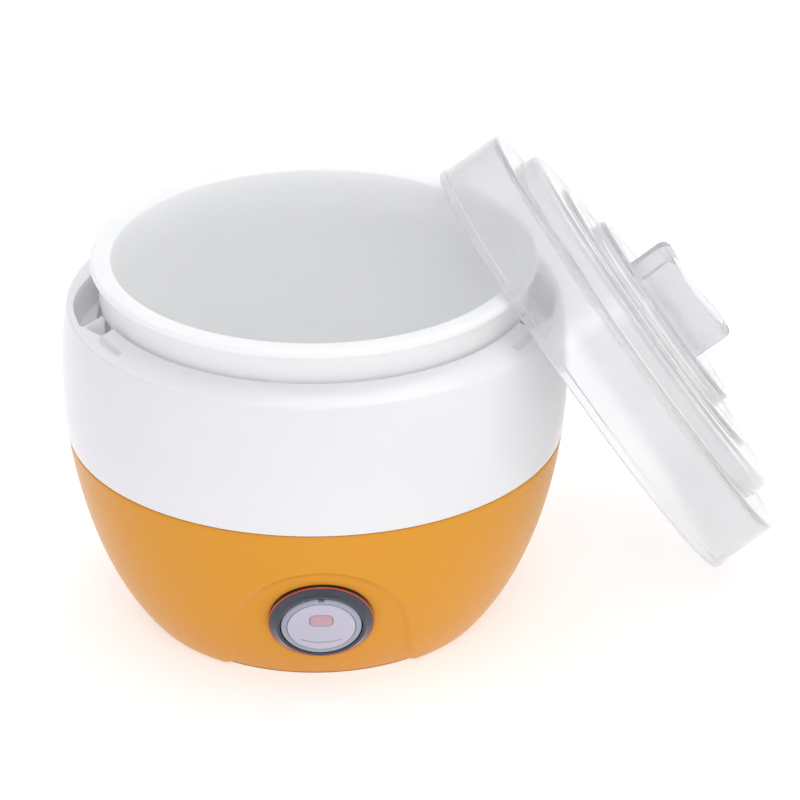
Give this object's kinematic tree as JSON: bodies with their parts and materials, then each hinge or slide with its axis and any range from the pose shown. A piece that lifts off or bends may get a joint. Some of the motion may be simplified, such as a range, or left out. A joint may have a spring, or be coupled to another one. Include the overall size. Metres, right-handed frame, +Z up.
{
  "type": "yogurt maker",
  "caption": "Round tabletop yogurt maker: white and orange bowl-shaped housing with a heated well, frosted inner pot, clear stepped lid with a grip, and an illuminated front power button.",
  "frame": {"origin": "on the housing's vertical axis at the base cover's flat underside, 1.2 mm above the plane of the feet at z = 0", "axes": "+Z up, -Y the front with the power button, +X towards the side where the lid leans"},
  "size_m": [0.2384, 0.1815, 0.1562],
  "materials": {
    "white_plastic": "glossy moulded white",
    "orange_plastic": "satin-gloss moulded orange",
    "frosted_plastic": "frosted translucent",
    "clear_plastic": "clear glossy",
    "black_plastic": "glossy black",
    "grey_plastic": "translucent grey",
    "pale_plastic": "satin pale grey",
    "red_lamp": "tinted lens",
    "aluminium": "turned",
    "zinc_steel": "zinc plated",
    "brass": "plain",
    "ceramic": "matt",
    "silicone": "matt",
    "rubber": "matt",
    "red_wire": "satin insulation",
    "blue_wire": "satin insulation"
  },
  "bodies": {
    "base": {"upper_shell": "white_plastic", "lower_shell": "orange_plastic", "inner_well": "white_plastic", "base_cover": "white_plastic", "heater_plate": "aluminium", "ptc_heater": "ceramic", "insulation_pad": "silicone", "heater_clamp": "zinc_steel", "clamp_screw_1": "zinc_steel", "clamp_screw_2": "zinc_steel", "plate_retainer": "zinc_steel", "retainer_screw_1": "zinc_steel", "retainer_screw_2": "zinc_steel", "retainer_screw_3": "zinc_steel", "well_screw_1": "zinc_steel", "well_screw_2": "zinc_steel", "well_screw_3": "zinc_steel", "well_screw_4": "zinc_steel", "base_screw_1": "zinc_steel", "base_screw_2": "zinc_steel", "base_screw_3": "zinc_steel", "base_screw_4": "zinc_steel", "rubber_foot_1": "rubber", "rubber_foot_2": "rubber", "rubber_foot_3": "rubber", "rubber_foot_4": "rubber", "thermostat": "black_plastic", "thermal_fuse": "ceramic", "button_bezel": "black_plastic", "button_spring": "zinc_steel", "switch_body": "black_plastic", "indicator_lamp": "red_lamp", "power_inlet": "black_plastic", "inlet_pin_1": "brass", "inlet_pin_2": "brass", "wire_live": "red_wire", "wire_switched": "red_wire", "wire_fuse": "red_wire", "wire_neutral": "blue_wire"},
    "pot": {"inner_pot": "frosted_plastic"},
    "lid": {"lid": "clear_plastic"},
    "button": {"power_button": "grey_plastic", "button_inlay": "pale_plastic", "indicator_window": "red_lamp"}
  },
  "joints": [
    {"name": "pot_lift", "type": "slide", "parent": "base", "child": "pot", "axis": [0, 0, 1], "range_m": [0, 0.12]},
    {"name": "lid_lift", "type": "slide", "parent": "pot", "child": "lid", "axis": [0.8184, 0.1325, 0.5592], "range_m": [0, 0.12]},
    {"name": "button_press", "type": "slide", "parent": "base", "child": "button", "axis": [0, 0.9367, 0.3502], "range_m": [0, 0.0021], "stiffness_N_per_m": 900, "deforming": ["button_spring"]}
  ]
}
